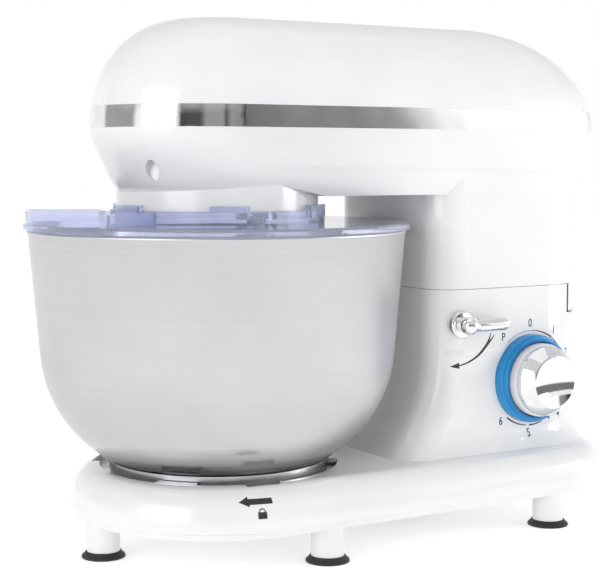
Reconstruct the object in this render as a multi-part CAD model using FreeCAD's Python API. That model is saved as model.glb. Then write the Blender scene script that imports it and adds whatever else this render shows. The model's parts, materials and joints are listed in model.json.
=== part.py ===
import FreeCAD, Part
import math
import os

V = FreeCAD.Vector
X_AXIS = V(1, 0, 0)
Y_AXIS = V(0, 1, 0)
Z_AXIS = V(0, 0, 1)

# Tilt-head stand mixer.  Lengths in millimetres.
# While it is modelled, x = 0 and y = 0 lie on the bowl's axis, the head's nose points to -X,
# the knob and the lever are on the -Y side, and the worktop is at FLOOR_Z.
# On export everything is shifted so that the origin is the middle of the footprint, on the worktop.

# ---------------------------------------------------------------- driving dimensions
LID_R = 117.5
REAR_X = 271.0
HEIGHT = 311.0
SHIFT_X = (LID_R - REAR_X) / 2
FLOOR_Z = -8.0
WALL = 2.5
GAP = 0.3

# head
NOSE_X = -77.0
HEAD_HALF = 64.0
HEAD_BOTTOM = 206.0
CHIN_Z = 213.0
CHIN_DROP = 8.0
CHIN_TOP = 243.0
CHIN_SET_BACK = 18.5
BAND_BOTTOM = 246.2
BAND_TOP = 259.0
BAND_DEPTH = 0.8
SPLIT_Z = (BAND_BOTTOM + BAND_TOP) / 2
CROWN_Z = 250.0
NOSE_ROUND = 55.0
TAIL_ROUND = 92.0
SIDE_ROUND = 40.0
TAIL_CORNER = 50.0
NOSE_RECESS_X = -59.0
NOSE_RECESS_Y = 32.0
NOSE_RECESS_Z = 221.5
NOSE_RECESS_HIGH = 6.0
NOSE_RECESS_WIDE = 4.5
NOSE_RECESS_DEPTH = 4.5

# column
COLUMN_FRONT = 123.0
COLUMN_REAR = 256.0
COLUMN_HALF = 62.0
COLUMN_FRONT_CORNER = 20.0
COLUMN_REAR_CORNER = 45.0
SEAM_Z = 146.5
SWEEP_TOP = 108.0
SIDE_SWEEP = 20.0

# base
BASE_R = 91.0
BASE_HALF_REAR = 88.0
BASE_REAR = 264.0
BASE_CORNER = 52.0
PLATE_Z = 13.0
BASE_Z = 17.0
DECK_Z = 42.0
FOOT_SPOTS = [(-78, 0), (31, -77.5), (31, 77.5), (201, -75.5), (201, 75.5)]
PLATE_SCREW_SPOTS = [(-40, -50), (-40, 50), (150, -80), (150, 80)]
PLATE_POST_R = 4.5
FOOT_R = 13.0
PILLAR_R = 10.0

# bowl and splash guard
RIM_R = 115.5
RIM_Z = 186.0
BOWL_WALL = 0.9
FOOT_RING_R = 67.0
FOOT_RING_Z = 38.5
BOWL_FLOOR_Z = 45.5
RECESS_R = 73.5
RECESS_Z = 37.5
LUG_ANGLES = [104, 224, 344]
LID_Z = RIM_Z + GAP
LID_TOP = 190.0
LID_LIP_R = 111.0
LID_LIP_Z = 183.0
COLLAR_R = 65.5
COLLAR_TOP = 201.0
CHUTE_HALF_ANGLE = 30.0
CHUTE_R0 = 72.0
CHUTE_R1 = 113.5
CHUTE_TOP = 197.5
LID_LUG_ANGLES = [60.0 * i + 8.0 for i in range(6)]

# neck and planetary drive
NECK_R = 61.5
NECK_Z = 197.0
MODULE = 1.5
RING_TEETH = 54
PLANET_TEETH = 18
TOOL_OFFSET = MODULE * (RING_TEETH - PLANET_TEETH) / 2
MAIN_TEETH = 70
PINION_TEETH = 12
COUNTER_X = MODULE * (MAIN_TEETH + PINION_TEETH) / 2
MAIN_GEAR_Z = 240.0
MAIN_GEAR_T = 12.0
PLANET_Z = 216.0
PLANET_T = 12.0
CHASSIS_Z = 232.0
CHASSIS_T = 4.0
CHASSIS_LUG_X = 90.0
CHASSIS_LUG_Y = 48.0
COVER_SCREW_SPOTS = [(110, 53), (232, 48)]
SPINDLE_R = 6.0
MAIN_SHAFT_R = 6.0
COUNTER_R = 5.0
RUN = 0.05

# belt drive and motor
PULLEY_R = 48.0
MOTOR_PULLEY_R = 9.0
PULLEY_Z = 276.0
PULLEY_T = 14.0
BELT_T = 2.0
MOTOR_X = 184.0
MOTOR_SHAFT_R = 4.0
STATOR_R = 43.0
STATOR_Z0 = 188.0
STATOR_Z1 = 228.0
MOTOR_LOW_Z = 168.0
MOTOR_HIGH_Z = 262.0

# head hinge, lever and knob
HINGE_X = 236.0
HINGE_Z = 148.0
HINGE_R = 20.0
HINGE_PIN_R = 4.0
HINGE_CLEARANCE = 1.4
LEVER_X = 138.5
LEVER_Z = 124.5
LEVER_SHAFT_R = 4.0
HOOK_REACH = 9.5
KNOB_X = 196.0
KNOB_Z = 86.5
KNOB_SHAFT_R = 3.0
LIGHT_RING_R = 28.5
INLET_Y = 22.0
INLET_Z = 28.0


# ---------------------------------------------------------------- helpers
def box(x0, x1, y0, y1, z0, z1):
    return Part.makeBox(x1 - x0, y1 - y0, z1 - z0, V(x0, y0, z0))


def cyl(r, x, y, z0, z1):
    return Part.makeCylinder(r, z1 - z0, V(x, y, z0))


def tube(r_out, r_in, x, y, z0, z1):
    return cyl(r_out, x, y, z0, z1).cut(cyl(r_in, x, y, z0 - 1, z1 + 1))


def cyl_y(r, x, z, y0, y1):
    return Part.makeCylinder(r, y1 - y0, V(x, y0, z), Y_AXIS)


def tube_y(r_out, r_in, x, z, y0, y1):
    return cyl_y(r_out, x, z, y0, y1).cut(cyl_y(r_in, x, z, y0 - 1, y1 + 1))


def fuse(shapes):
    whole = shapes[0]
    for shape in shapes[1:]:
        whole = whole.fuse(shape)
    return whole.removeSplitter()


def cut(shape, tools):
    for tool in tools:
        shape = shape.cut(tool)
    return shape


def polar(r, degrees, z=0.0):
    angle = math.radians(degrees)
    return V(r * math.cos(angle), r * math.sin(angle), z)


def turned(points, x=0.0, y=0.0):
    """Solid of revolution about the vertical line through (x, y), from (r, z) points."""
    wire = Part.makePolygon([V(r, 0, z) for r, z in points + points[:1]])
    solid = Part.Face(wire).revolve(V(0, 0, 0), Z_AXIS, 360)
    solid.translate(V(x, y, 0))
    return solid


def turned_wire(edges):
    """Solid of revolution about Z from edges in the XZ plane."""
    return Part.Face(Part.Wire(edges)).revolve(V(0, 0, 0), Z_AXIS, 360)


def prism_y(points, y0, y1):
    wire = Part.makePolygon([V(x, y0, z) for x, z in points + points[:1]])
    return Part.Face(wire).extrude(V(0, y1 - y0, 0))


def prism_z(points, z0, z1):
    wire = Part.makePolygon([V(x, y, z0) for x, y in points + points[:1]])
    return Part.Face(wire).extrude(V(0, 0, z1 - z0))


def outline(front, rear, half, front_corner, rear_corner, z):
    """Closed plan outline with eight edges, mirrored about the centre plane."""
    fc = front_corner
    rc = rear_corner
    k = 1 - math.sqrt(0.5)
    corners = [
        (V(front, -half + fc, z), V(front + fc * k, -half + fc * k, z), V(front + fc, -half, z)),
        (V(rear - rc, -half, z), V(rear - rc * k, -half + rc * k, z), V(rear, -half + rc, z)),
        (V(rear, half - rc, z), V(rear - rc * k, half - rc * k, z), V(rear - rc, half, z)),
        (V(front + fc, half, z), V(front + fc * k, half - fc * k, z), V(front, half - fc, z)),
    ]
    edges = []
    for i, (start, middle, end) in enumerate(corners):
        edges.append(Part.Arc(start, middle, end).toShape())
        edges.append(Part.makeLine(end, corners[(i + 1) % 4][0]))
    return Part.Wire(edges)


def loft(wires):
    return Part.makeLoft(wires, True, False)


def screw(x, y, z, length, up=True, head_r=3.2, shank_r=1.6):
    """Pan-head screw: the head's underside is at z and the shank points up or down."""
    if up:
        return fuse([cyl(head_r, x, y, z - 2, z), cyl(shank_r, x, y, z, z + length)])
    return fuse([cyl(head_r, x, y, z, z + 2), cyl(shank_r, x, y, z - length, z)])


def gear_points(teeth, module, addendum, dedendum, thin, phase, internal=False):
    """Involute gear outline, centred on the origin; thin is taken off each flank."""
    pitch_r = module * teeth / 2
    base_r = pitch_r * math.cos(math.radians(20))
    low_r = pitch_r - dedendum
    high_r = pitch_r + addendum
    inv_pitch = math.tan(math.radians(20)) - math.radians(20)
    sign = 1 if internal else -1
    half_angle = math.pi / (2 * teeth) + sign * thin / pitch_r
    flank = []
    for i in range(6):
        r = low_r + (high_r - low_r) * i / 5
        if r > base_r:
            pressure = math.acos(base_r / r)
            inv = math.tan(pressure) - pressure
        else:
            inv = 0.0
        flank.append((r, half_angle + inv_pitch - inv))
    points = []
    for tooth in range(teeth):
        centre = 2 * math.pi * tooth / teeth + math.radians(phase)
        for r, angle in flank:
            points.append((r * math.cos(centre - angle), r * math.sin(centre - angle)))
        for r, angle in reversed(flank):
            points.append((r * math.cos(centre + angle), r * math.sin(centre + angle)))
    return points


def gear(teeth, phase, x, z, thickness, addendum=0.8, dedendum=1.15, thin=0.13):
    points = gear_points(teeth, MODULE, addendum * MODULE, dedendum * MODULE, thin, phase)
    solid = prism_z(points, z, z + thickness)
    solid.translate(V(x, 0, 0))
    return solid


# ---------------------------------------------------------------- outer skins
def crown(z, size):
    """How far the head's outline has moved in at height z, above the crown line."""
    t = max(0.0, (z - CROWN_Z) / (HEIGHT - CROWN_Z))
    return size * (1 - math.sqrt(max(0.0, 1 - t * t)))


def head_section(z, inset):
    low = max(0.0, (240.0 - z) / (240.0 - HEAD_BOTTOM))
    chin = CHIN_SET_BACK * max(0.0, (CHIN_TOP - z) / (CHIN_TOP - HEAD_BOTTOM)) ** 1.15
    side_tuck = 6.0 * low ** 3
    tail_tuck = 22.0 * low ** 2
    front = NOSE_X + crown(z, NOSE_ROUND) + chin + inset
    rear = REAR_X - crown(z, TAIL_ROUND) - tail_tuck - inset
    half = HEAD_HALF - crown(z, SIDE_ROUND) - side_tuck - inset
    return front, rear, half


def head_skin(inset):
    """The head as one closed solid, drawn in by inset."""
    low = HEAD_BOTTOM + inset
    high = HEIGHT - inset
    spans = [0.0, 0.06, 0.14, 0.24, 0.36, 0.44, 0.55, 0.65, 0.74, 0.82, 0.89, 0.94, 0.975, 1.0]
    wires = []
    for span in spans:
        z = low + (high - low) * span
        front, rear, half = head_section(z + (inset if span > 0.5 else -inset), inset)
        corner = min(TAIL_CORNER, half * 0.9)
        wires.append(outline(front, rear, half, half * 0.96, corner, z))
    return loft(wires)


def column_outline(z, inset, front=COLUMN_FRONT, rear=COLUMN_REAR, half=COLUMN_HALF):
    return outline(front + inset, rear - inset, half - inset, COLUMN_FRONT_CORNER - inset,
                   COLUMN_REAR_CORNER - inset, z)


def upper_column_skin(inset):
    return loft([column_outline(z, inset) for z in (SEAM_Z - 0.01, 170.0, 195.0, 224.0)])


def lower_column_skin(inset):
    """Column below the seam: it spreads in a concave sweep to meet the deck."""
    low = DECK_Z - 6
    wires = []
    for i in range(11):
        t = (i / 10.0) ** 1.6
        z = low + (SWEEP_TOP - low) * t
        sweep = (1 - t) ** 2.4
        foot = max(0.0, 1 - (z - low) / SIDE_SWEEP) ** 1.8
        wires.append(column_outline(z, inset, COLUMN_FRONT - 38 * sweep, COLUMN_REAR + 4 * foot,
                                    COLUMN_HALF + 15 * foot))
    shaft = Part.Face(column_outline(SWEEP_TOP, inset)).extrude(V(0, 0, SEAM_Z - SWEEP_TOP))
    return loft(wires).fuse(shaft)


def base_outline(z, inset):
    """Plan of the base: a round nose about the bowl's axis and sides that narrow to the rear."""
    r = BASE_R - inset
    half = BASE_HALF_REAR - inset
    rear = BASE_REAR - inset
    corner = BASE_CORNER - inset
    k = corner * (1 - math.sqrt(0.5))
    nose = Part.Arc(V(0, r, z), V(-r, 0, z), V(0, -r, z)).toShape()
    near_side = Part.makeLine(V(0, -r, z), V(rear - corner, -half, z))
    near_corner = Part.Arc(V(rear - corner, -half, z), V(rear - k, -half + k, z),
                           V(rear, -half + corner, z)).toShape()
    tail = Part.makeLine(V(rear, -half + corner, z), V(rear, half - corner, z))
    far_corner = Part.Arc(V(rear, half - corner, z), V(rear - k, half - k, z),
                          V(rear - corner, half, z)).toShape()
    far_side = Part.makeLine(V(rear - corner, half, z), V(0, r, z))
    return Part.Wire([nose, near_side, near_corner, tail, far_corner, far_side])


def base_skin(inset, low):
    """Base below the deck: upright sides that roll over into the deck."""
    roll_z = 22.0
    roll = 15.0
    wires = [base_outline(low, inset + 1.0), base_outline(BASE_Z + 2.5, inset)]
    for i in range(5):
        t = math.radians(90.0 * i / 4)
        z = roll_z + (DECK_Z - inset - roll_z) * math.sin(t)
        wires.append(base_outline(z, inset + roll * (1 - math.cos(t))))
    return loft(wires)


# ---------------------------------------------------------------- base assembly
def recess_tools():
    """Round recess for the bowl's foot with three lug entries."""
    tools = [cyl(RECESS_R, 0, 0, RECESS_Z, DECK_Z + 20)]
    for angle in LUG_ANGLES:
        entry = box(0, RECESS_R + 4.5, -11, 11, RECESS_Z, DECK_Z + 20)
        entry.rotate(V(0, 0, 0), Z_AXIS, angle + 38)
        tools.append(entry)
    return tools


def base_housing():
    outer = base_skin(0, BASE_Z).fuse(lower_column_skin(0))
    inner = base_skin(WALL, BASE_Z - 1).fuse(lower_column_skin(WALL))
    pan = tube(RECESS_R + 8, 0.5, 0, 0, RECESS_Z - WALL, DECK_Z - 1)
    shell = outer.cut(inner)
    shell = shell.fuse(pan.common(outer))
    shell = cut(shell, recess_tools())
    seam_gap = box(0, 300, -100, 100, SEAM_Z - 0.3, SEAM_Z + 5)
    barrel = cyl_y(HINGE_R + HINGE_CLEARANCE, HINGE_X, HINGE_Z, -58, 58)
    lever_hole = cyl_y(7.05, LEVER_X, LEVER_Z, -80, 0)
    knob_hole = cyl_y(12.0, KNOB_X, KNOB_Z, -90, 0)
    ring_seat = cyl_y(LIGHT_RING_R + 0.3, KNOB_X, KNOB_Z, -90, knob_face_y())
    inlet = Part.makeCylinder(6.0, 30, V(BASE_REAR - 20, INLET_Y, INLET_Z), X_AXIS)
    shell = cut(shell, [seam_gap, barrel, lever_hole, knob_hole, ring_seat, inlet])
    for x, y in PLATE_SCREW_SPOTS:
        post = cyl(PLATE_POST_R, x, y, BASE_Z, RECESS_Z - 1).common(outer)
        shell = shell.fuse(post.cut(cyl(1.6, x, y, BASE_Z - 1, BASE_Z + 14)))
    for spot in lock_screw_spots():
        boss = cyl(4.0, spot.x, spot.y, RECESS_Z - 6, RECESS_Z - 1)
        shell = shell.fuse(boss).cut(cyl(1.5, spot.x, spot.y, RECESS_Z - 7, RECESS_Z + 1))
    return shell.fuse(bracket_rib().common(lower_column_skin(0.5)))


def bottom_plate():
    plate = loft([base_outline(PLATE_Z, 3.5), base_outline(BASE_Z - 0.3, 2.0)])
    lip = loft([base_outline(BASE_Z - 0.5, WALL + 2.3), base_outline(BASE_Z + 3, WALL + 2.3)])
    lip = lip.cut(loft([base_outline(BASE_Z - 1, WALL + 4.3), base_outline(BASE_Z + 4, WALL + 4.3)]))
    lip = cut(lip, [cyl(PLATE_POST_R + 2 * GAP, x, y, BASE_Z, BASE_Z + 4) for x, y in PLATE_SCREW_SPOTS])
    plate = plate.cut(box(60, 180, -30, 30, BASE_Z - 2, BASE_Z + 1))
    vents = [box(90 + 9 * i, 93 + 9 * i, -22, 22, PLATE_Z - 1, BASE_Z) for i in range(8)]
    plate = cut(plate.fuse(lip), vents)
    for x, y in FOOT_SPOTS:
        plate = plate.fuse(cyl(PILLAR_R, x, y, FLOOR_Z + 4.0, PLATE_Z + 1))
        plate = plate.cut(cyl(3.0, x, y, FLOOR_Z + 3.0, PLATE_Z - 1))
    for x, y in PLATE_SCREW_SPOTS:
        plate = plate.cut(cyl(2.0, x, y, PLATE_Z - 1, BASE_Z + 4))
        plate = plate.cut(cyl(3.6, x, y, PLATE_Z - 1, PLATE_Z + 2.2))
    return plate


def suction_feet():
    """Five rubber cups, each with a stem pressed up into its pillar."""
    profile = [(0, 1.6), (8.5, 1.6), (FOOT_R - 1.4, 0.0), (FOOT_R, 0.0), (FOOT_R, 1.2),
               (PILLAR_R + 0.6, 4.0), (2.95, 4.0), (2.95, 9.0), (0, 9.0)]
    cups = [turned(profile, x, y) for x, y in FOOT_SPOTS]
    for cup in cups:
        cup.translate(V(0, 0, FLOOR_Z))
    return cups


def bottom_screws():
    return [screw(x, y, PLATE_Z + 2.2, 12) for x, y in PLATE_SCREW_SPOTS]


def bowl_lock_plate():
    """Steel ring on the recess floor, which the bowl's foot rests over."""
    plate = tube(60, 30, 0, 0, RECESS_Z, RECESS_Z + 0.8)
    for spot in lock_screw_spots():
        plate = plate.cut(cyl(1.5, spot.x, spot.y, 30, 50))
    return plate


def lock_screw_spots():
    return [polar(48, angle + 60) for angle in LUG_ANGLES]


def lock_plate_screws():
    return [screw(p.x, p.y, RECESS_Z + 0.8, 6, up=False, head_r=3.0, shank_r=1.5)
            for p in lock_screw_spots()]


def lock_tabs():
    """Hooked tabs on the recess wall that hold the bowl's lugs down."""
    tabs = []
    for angle in LUG_ANGLES:
        ring = tube(RECESS_R - 0.1, FOOT_RING_R + 1.6, 0, 0, DECK_Z - 1.4, DECK_Z + 0.4)
        wedge = sector(RECESS_R + 5, angle - 12, angle + 8, DECK_Z - 3, DECK_Z + 2)
        tabs.append(ring.common(wedge))
    return tabs


def sector(r, a0, a1, z0, z1):
    """Pie slice about the bowl's axis between two angles."""
    steps = 8
    points = [(0.0, 0.0)]
    for i in range(steps + 1):
        p = polar(r / math.cos(math.radians((a1 - a0) / steps / 2)), a0 + (a1 - a0) * i / steps)
        points.append((p.x, p.y))
    return prism_z(points, z0, z1)


def hinge_bracket():
    """Steel bracket: two ears carry the pin and two legs stand on the column's ribs."""
    ears = []
    for side in (-1, 1):
        y0 = side * 22 - 2
        ear = fuse([cyl_y(9, HINGE_X, HINGE_Z, y0, y0 + 4),
                    box(190, HINGE_X, y0, y0 + 4, HINGE_Z - 9, HINGE_Z),
                    box(190, 198, y0, y0 + 4, 100, HINGE_Z)])
        ears.append(ear)
    foot = box(198, 202, -40, 40, 96, 140)
    bracket = fuse(ears + [foot])
    holes = [Part.makeCylinder(2.2, 10, V(195, y, z), X_AXIS) for y in (-34, 34) for z in (104, 128)]
    return cut(bracket, [cyl_y(HINGE_PIN_R, HINGE_X, HINGE_Z, -30, 30)] + holes)


def bracket_rib():
    """Cross wall inside the column that the hinge bracket is bolted to."""
    rib = box(202, 206, -62, 62, 60, 138)
    window = box(200, 208, -26, 26, 66, 92)
    knob_clear = box(200, 208, -80, -38, 50, 112)
    holes = [Part.makeCylinder(1.6, 10, V(199, y, z), X_AXIS) for y in (-34, 34) for z in (104, 128)]
    return cut(rib, [window, knob_clear] + holes)


def bracket_screws():
    screws = []
    for y in (-34, 34):
        for z in (104, 128):
            head = Part.makeCylinder(3.6, 2.4, V(198 - 2.4, y, z), X_AXIS)
            shank = Part.makeCylinder(1.6, 8, V(198, y, z), X_AXIS)
            screws.append(head.fuse(shank))
    return screws


def hinge_pin():
    return cyl_y(HINGE_PIN_R, HINGE_X, HINGE_Z, -36, 36)


def lever_bush():
    bush = tube_y(7.0, LEVER_SHAFT_R + RUN, LEVER_X, LEVER_Z, -62.3, -48)
    flange = tube_y(9.0, LEVER_SHAFT_R + RUN, LEVER_X, LEVER_Z, -52, -48)
    return fuse([bush, flange])


def lever_spring():
    """Torsion spring round the lever's shaft, drawn as closed coils."""
    coils = [Part.makeTorus(6.2, 0.7, V(LEVER_X, -44.5 + 1.5 * i, LEVER_Z), Y_AXIS) for i in range(5)]
    return coils


def light_ring():
    """Stepped translucent ring that the knob stands in."""
    y = knob_face_y()
    steps = [tube_y(LIGHT_RING_R, 24.2, KNOB_X, KNOB_Z, y - 6.5, y),
             tube_y(LIGHT_RING_R - 1.6, 24.2, KNOB_X, KNOB_Z, y - 9.5, y - 6.4),
             tube_y(24.4, 14.0, KNOB_X, KNOB_Z, y - 2.5, y)]
    return fuse(steps)


def knob_face_y():
    """Floor of the shallow seat in the column's side that holds the light ring."""
    return -(COLUMN_HALF - 0.5)


def control_board():
    board = box(KNOB_X - 30, KNOB_X + 22, -52, -50.4, KNOB_Z - 30, KNOB_Z + 22)
    return board.cut(cyl_y(5.0, KNOB_X, KNOB_Z, -60, -40))


def speed_switch():
    """Rotary control behind the board; the knob's shaft turns in it."""
    can = box(KNOB_X - 12, KNOB_X + 12, -50.4, -40, KNOB_Z - 12, KNOB_Z + 12)
    collar = cyl_y(4.8, KNOB_X, KNOB_Z, -58, -50.4)
    return fuse([can, collar]).cut(cyl_y(KNOB_SHAFT_R + RUN, KNOB_X, KNOB_Z, -59, -43))


def cord_inlet():
    """Rubber grommet in the rear wall, where the mains lead enters."""
    flange = Part.makeCylinder(8.0, 3.0, V(BASE_REAR + 0.1, INLET_Y, INLET_Z), X_AXIS)
    neck = Part.makeCylinder(5.95, 9.2, V(BASE_REAR - 9, INLET_Y, INLET_Z), X_AXIS)
    bore = Part.makeCylinder(3.4, 40, V(BASE_REAR - 20, INLET_Y, INLET_Z), X_AXIS)
    return flange.fuse(neck).cut(bore)


def terminal_block():
    block = box(214, 234, 24, 40, BASE_Z, BASE_Z + 12)
    return cut(block, [cyl(1.5, 219 + 5 * i, 32, BASE_Z + 4, BASE_Z + 20) for i in range(3)])


# ---------------------------------------------------------------- lever and knob
def tilt_lever():
    """Boss disc, ball hub and a straight rod that points to the rear when locked."""
    y = -COLUMN_HALF - 0.8
    boss = cyl_y(8.6, LEVER_X, LEVER_Z, y - 3.0, y)
    neck = cyl_y(4.5, LEVER_X, LEVER_Z, y - 8, y - 2.5)
    ball = Part.makeSphere(6.0, V(LEVER_X, y - 9.0, LEVER_Z))
    rod = Part.makeCylinder(4.2, 26.0, V(LEVER_X, y - 9.0, LEVER_Z), X_AXIS)
    tip = Part.makeSphere(4.2, V(LEVER_X + 26.0, y - 9.0, LEVER_Z))
    return fuse([boss, neck, ball, rod, tip]).cut(cyl_y(2.0, LEVER_X, LEVER_Z, y - 6, y + 1))


def lever_shaft():
    y = -COLUMN_HALF - 0.8
    body = cyl_y(LEVER_SHAFT_R, LEVER_X, LEVER_Z, y, -22)
    stub = cyl_y(2.0, LEVER_X, LEVER_Z, y - 6, y + 0.5)
    return body.fuse(stub)


def latch_hook():
    """Hook on the lever's shaft; its nose lies under the catch in the head."""
    hub = cyl_y(8.0, LEVER_X, LEVER_Z, -34, -28)
    outline_points = [(6, 0), (5, 29), (-HOOK_REACH, 29), (-HOOK_REACH, 25), (-5, 24), (-6, 0)]
    arm = prism_y([(LEVER_X + dx, LEVER_Z + dz) for dx, dz in outline_points], -34, -28)
    return fuse([hub, arm]).cut(cyl_y(LEVER_SHAFT_R, LEVER_X, LEVER_Z, -40, -20))


def speed_knob():
    y = knob_face_y()
    skirt = cyl_y(23.6, KNOB_X, KNOB_Z, y - 14.0, y - 3.2)
    core = cyl_y(20.0, KNOB_X, KNOB_Z, y - 18.0, y - 13.9)
    knob = fuse([skirt, core])
    hollow = tube_y(19.0, 6.5, KNOB_X, KNOB_Z, y - 12.0, y - 3.0)
    bore = cyl_y(KNOB_SHAFT_R, KNOB_X, KNOB_Z, y - 14.0, y)
    return cut(knob, [hollow, bore])


def knob_cap():
    """Chrome cap: a bevelled ring round a flat face."""
    y = knob_face_y()
    cone = Part.makeCone(22.4, 16.5, 7.0, V(KNOB_X, y - 18.0, KNOB_Z), V(0, -1, 0))
    rim = cyl_y(22.4, KNOB_X, KNOB_Z, y - 18.0, y - 14.0)
    cap = fuse([rim, cone])
    return cap.cut(cyl_y(20.0, KNOB_X, KNOB_Z, y - 18.0, y - 10.0))


def knob_shaft():
    y = knob_face_y()
    return cyl_y(KNOB_SHAFT_R, KNOB_X, KNOB_Z, y - 14.0, -44)


# ---------------------------------------------------------------- bowl and splash guard
def bowl():
    """Spun steel bowl: a flat floor, one large arc and a wall that leans out to a rolled rim."""
    foot = V(66.0, 0, BOWL_FLOOR_Z)
    knee = V(108.2, 0, 110.0)
    top = V(113.7, 0, RIM_Z - 1.4)
    slope = (top - knee).normalize()
    inward = V(-slope.z, 0, slope.x)
    chord = knee - foot
    radius = -chord.dot(chord) / (2 * chord.dot(inward))
    centre = knee + inward * radius
    outer = bowl_side(foot, knee, top, centre, radius)
    foot_in = V(66.0, 0, BOWL_FLOOR_Z + BOWL_WALL * 1.4)
    knee_in = knee + inward * BOWL_WALL
    top_in = top + inward * BOWL_WALL
    inner = bowl_side(foot_in, knee_in, top_in, centre, radius - BOWL_WALL)
    floor = V(0, 0, BOWL_FLOOR_Z)
    floor_in = V(0, 0, BOWL_FLOOR_Z + BOWL_WALL * 1.4)
    wall = turned_wire([Part.makeLine(floor, foot)] + outer + [Part.makeLine(top, top_in)] + inner[::-1]
                       + [Part.makeLine(foot_in, floor_in), Part.makeLine(floor_in, floor)])
    rim = Part.makeTorus(RIM_R - 1.6, 1.4, V(0, 0, RIM_Z - 1.4))
    return wall.fuse(rim)


def bowl_side(foot, knee, top, centre, radius):
    """Arc from the foot to the knee, then a straight line to the top."""
    middle_angle = (math.atan2(foot.z - centre.z, foot.x - centre.x)
                    + math.atan2(knee.z - centre.z, knee.x - centre.x)) / 2
    middle = centre + V(radius * math.cos(middle_angle), 0, radius * math.sin(middle_angle))
    return [Part.Arc(foot, middle, knee).toShape(), Part.makeLine(knee, top)]


def bowl_foot_ring():
    """Ring under the bowl with three bayonet lugs."""
    ring = tube(FOOT_RING_R, FOOT_RING_R - 3.0, 0, 0, FOOT_RING_Z, BOWL_FLOOR_Z)
    flange = tube(FOOT_RING_R - 2.9, 52.0, 0, 0, BOWL_FLOOR_Z - 1.2, BOWL_FLOOR_Z)
    ring = ring.fuse(flange)
    for angle in LUG_ANGLES:
        lug = tube(RECESS_R - 1.0, FOOT_RING_R - 1.0, 0, 0, FOOT_RING_Z + 0.3, FOOT_RING_Z + 1.8)
        ring = ring.fuse(lug.common(sector(RECESS_R + 5, angle - 9, angle + 9, 30, 50)))
    return ring.removeSplitter()


def splash_guard():
    """Clear lid: a lip inside the bowl's rim, a collar round the neck and a walled feed chute."""
    disc = turned([(COLLAR_R - 2.4, LID_Z), (LID_LIP_R - 1.8, LID_Z), (LID_LIP_R - 1.8, LID_LIP_Z),
                   (LID_LIP_R, LID_LIP_Z), (LID_LIP_R, LID_Z), (LID_R, LID_Z),
                   (LID_R, LID_TOP - 1.2), (LID_R - 1.6, LID_TOP),
                   (COLLAR_R, LID_TOP), (COLLAR_R, COLLAR_TOP - 3), (COLLAR_R - 2.4, COLLAR_TOP - 3)])
    a0 = 180 - CHUTE_HALF_ANGLE
    a1 = 180 + CHUTE_HALF_ANGLE
    chute = tube(CHUTE_R1 + 2.4, CHUTE_R0 - 2.4, 0, 0, LID_Z, CHUTE_TOP)
    chute = chute.common(sector(LID_R + 9, a0 - 1.8, a1 + 1.8, LID_Z - 5, CHUTE_TOP + 5))
    mouth = tube(CHUTE_R1, CHUTE_R0, 0, 0, LID_Z - 9, CHUTE_TOP + 9)
    mouth = mouth.common(sector(LID_R + 9, a0, a1, LID_Z - 9, CHUTE_TOP + 9))
    lid = disc.fuse(chute).cut(mouth)
    for angle in LID_LUG_ANGLES:
        lug = tube(COLLAR_R + 1.2, COLLAR_R - 3.2, 0, 0, COLLAR_TOP - 7.5, COLLAR_TOP)
        lid = lid.fuse(lug.common(sector(LID_R, angle - 10, angle + 10, LID_TOP, COLLAR_TOP + 5)))
    return lid


# ---------------------------------------------------------------- head assembly
def belly_cut():
    """The underside steps up in front of the neck and falls a little towards the nose."""
    profile = [(-120, 190), (42, 190), (42, HEAD_BOTTOM), (8, CHIN_Z), (-120, CHIN_Z - CHIN_DROP)]
    return prism_y(profile, -100, 100)


def hinge_barrel():
    """Rounded rear knuckle of the head: the wall that turns down into the column as it lifts."""
    levels = (120.0, 140.0, 160.0, 180.0)
    outer = loft([column_outline(z, 0) for z in levels])
    inner = loft([column_outline(z, WALL) for z in levels])
    drum = tube_y(HINGE_R, HINGE_R - WALL, HINGE_X, HINGE_Z, -57, 57)
    drum = drum.common(box(HINGE_X - 4, 300, -57, 57, 100, HINGE_Z + 6)).common(outer)
    wall = cyl_y(HINGE_R, HINGE_X, HINGE_Z, -57, 57).common(outer.cut(inner))
    wall = wall.common(box(HINGE_X - 4, 300, -57, 57, 100, HINGE_Z + 1))
    return drum.fuse(wall)


def head_shell():
    outer = head_skin(0).fuse(upper_column_skin(0))
    inner = head_skin(WALL).fuse(upper_column_skin(WALL))
    low_cut = belly_cut()
    raised = belly_cut()
    raised.translate(V(0, 0, WALL))
    solid = outer.cut(low_cut)
    hollow = inner.cut(raised)
    open_seam = column_outline(SEAM_Z, WALL)
    mouth = Part.Face(open_seam).extrude(V(0, 0, 20))
    mouth.translate(V(0, 0, -5))
    return solid.cut(hollow.fuse(mouth)), outer


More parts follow.
